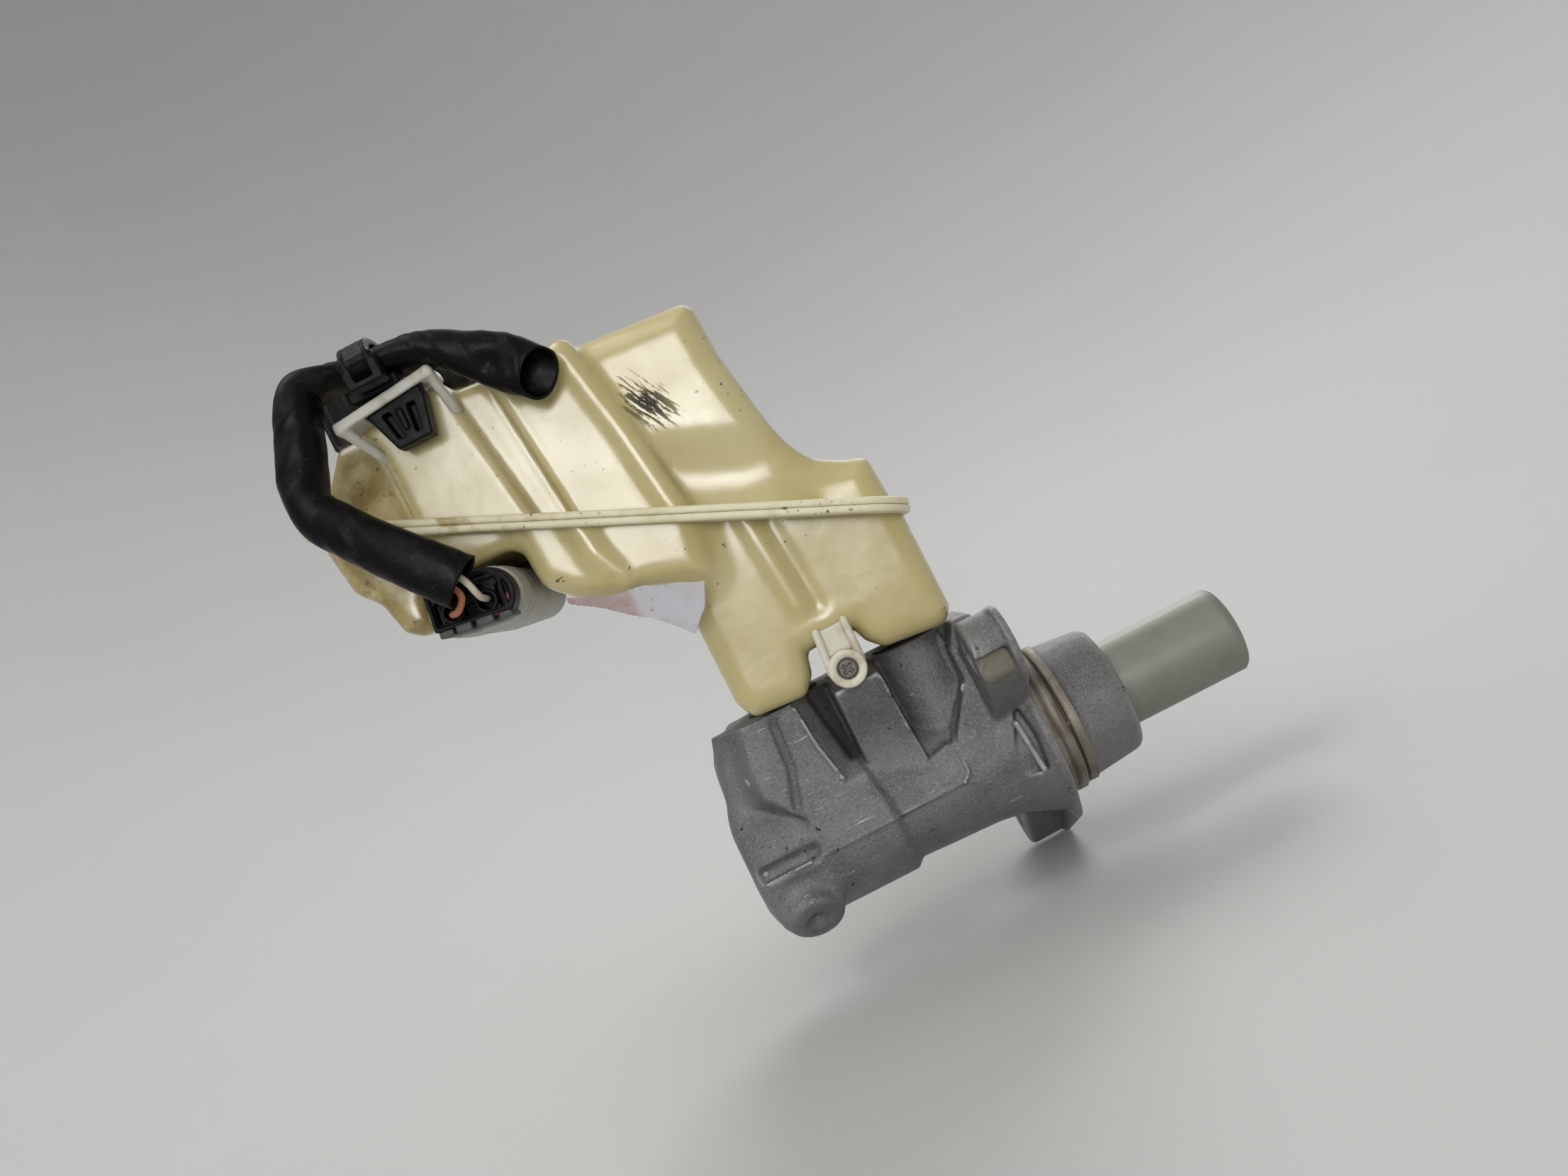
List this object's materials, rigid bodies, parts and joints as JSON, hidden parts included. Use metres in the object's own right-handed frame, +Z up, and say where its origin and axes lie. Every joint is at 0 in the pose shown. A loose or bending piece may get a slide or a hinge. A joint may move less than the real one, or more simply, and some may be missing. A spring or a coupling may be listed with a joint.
{
  "type": "brake master cylinder",
  "caption": "Tandem brake master cylinder: cast alloy body with a two-bolt flange and sliding plungers, under a welded fluid reservoir with screw cap, level sensor and harness sleeve.",
  "frame": {"origin": "centre of the two flange bolts, on the bore axis in the flange face that meets the booster", "axes": "+X along the bore towards the booster and push rod, +Z up through the reservoir, +Y to the far side"},
  "size_m": [0.1983, 0.1035, 0.2002],
  "materials": {
    "cast_aluminium": "as-cast, rough and grimy, with machined lands",
    "plunger_alloy": "satin, hard anodised",
    "spring_steel": "dark phosphated",
    "plated_steel": "zinc plated",
    "screw_steel": "dull, dirty",
    "seal_rubber": "smooth moulded",
    "seal_red": "smooth moulded",
    "guide_plastic": "moulded",
    "reservoir_plastic": "translucent, aged to cream yellow",
    "strainer_plastic": "moulded",
    "cap_plastic": "ribbed",
    "sensor_plastic": "moulded, dusty",
    "connector_plastic": "moulded",
    "clip_plastic": "moulded",
    "wire_white": "insulation",
    "wire_brown": "insulation",
    "sleeve_vinyl": "soft vinyl tube, creased",
    "float_foam": "closed-cell foam",
    "switch_glass": "clear",
    "label_paper": "blank, torn"
  },
  "bodies": {
    "housing": {"cylinder_body": "cast_aluminium", "secondary_spring": "spring_steel", "rear_feed_seal": "seal_rubber", "rear_pressure_seal": "seal_rubber", "front_feed_seal": "seal_rubber", "front_pressure_seal": "seal_rubber", "guide_ring": "guide_plastic", "retaining_ring": "plated_steel", "rear_grommet": "seal_rubber", "front_grommet": "seal_rubber", "reservoir_lower": "reservoir_plastic", "reservoir_upper": "reservoir_plastic", "filler_strainer": "strainer_plastic", "retaining_screw": "screw_steel", "level_sensor_housing": "sensor_plastic", "reed_switch": "switch_glass", "connector_plug": "connector_plastic", "connector_lock": "connector_plastic", "connector_seal": "seal_red", "wire_white": "wire_white", "wire_brown": "wire_brown", "protective_sleeve": "sleeve_vinyl", "harness_clip": "clip_plastic", "clip_strap": "clip_plastic", "paper_label": "label_paper"},
    "push_plunger": {"primary_piston": "plunger_alloy", "spring_cup": "plated_steel"},
    "floating_plunger": {"secondary_piston": "plunger_alloy", "spring_stem": "plated_steel", "primary_spring": "spring_steel"},
    "cap_lift": {"cap_seal": "seal_rubber"},
    "cap": {"filler_cap": "cap_plastic"},
    "float": {"level_float": "float_foam"}
  },
  "joints": [
    {"name": "primary_slide", "type": "slide", "parent": "housing", "child": "push_plunger", "axis": [-1, 0, 0], "range_m": [0, 0.033], "stiffness_N_per_m": 1500, "springref_m": -0.03, "deforming": ["primary_spring"]},
    {"name": "secondary_slide", "type": "slide", "parent": "housing", "child": "floating_plunger", "axis": [-1, 0, 0], "range_m": [0, 0.0165], "deforming": ["secondary_spring"]},
    {"name": "cap_rise", "type": "slide", "parent": "housing", "child": "cap_lift", "axis": [0, 0, 1], "range_m": [0, 0.0302]},
    {"name": "cap_turn", "type": "hinge", "parent": "cap_lift", "child": "cap", "pos_m": [-0.11, 0, 0.15], "axis": [0, 0, 1], "range_deg": [0, 540]},
    {"name": "float_rise", "type": "slide", "parent": "housing", "child": "float", "axis": [0, 0, 1], "range_m": [0, 0.008]}
  ],
  "couplings": [
    {"joint": "secondary_slide", "follows": "primary_slide", "ratio": 0.5},
    {"joint": "cap_rise", "follows": "cap_turn", "m_per_rad": 0.0032}
  ]
}
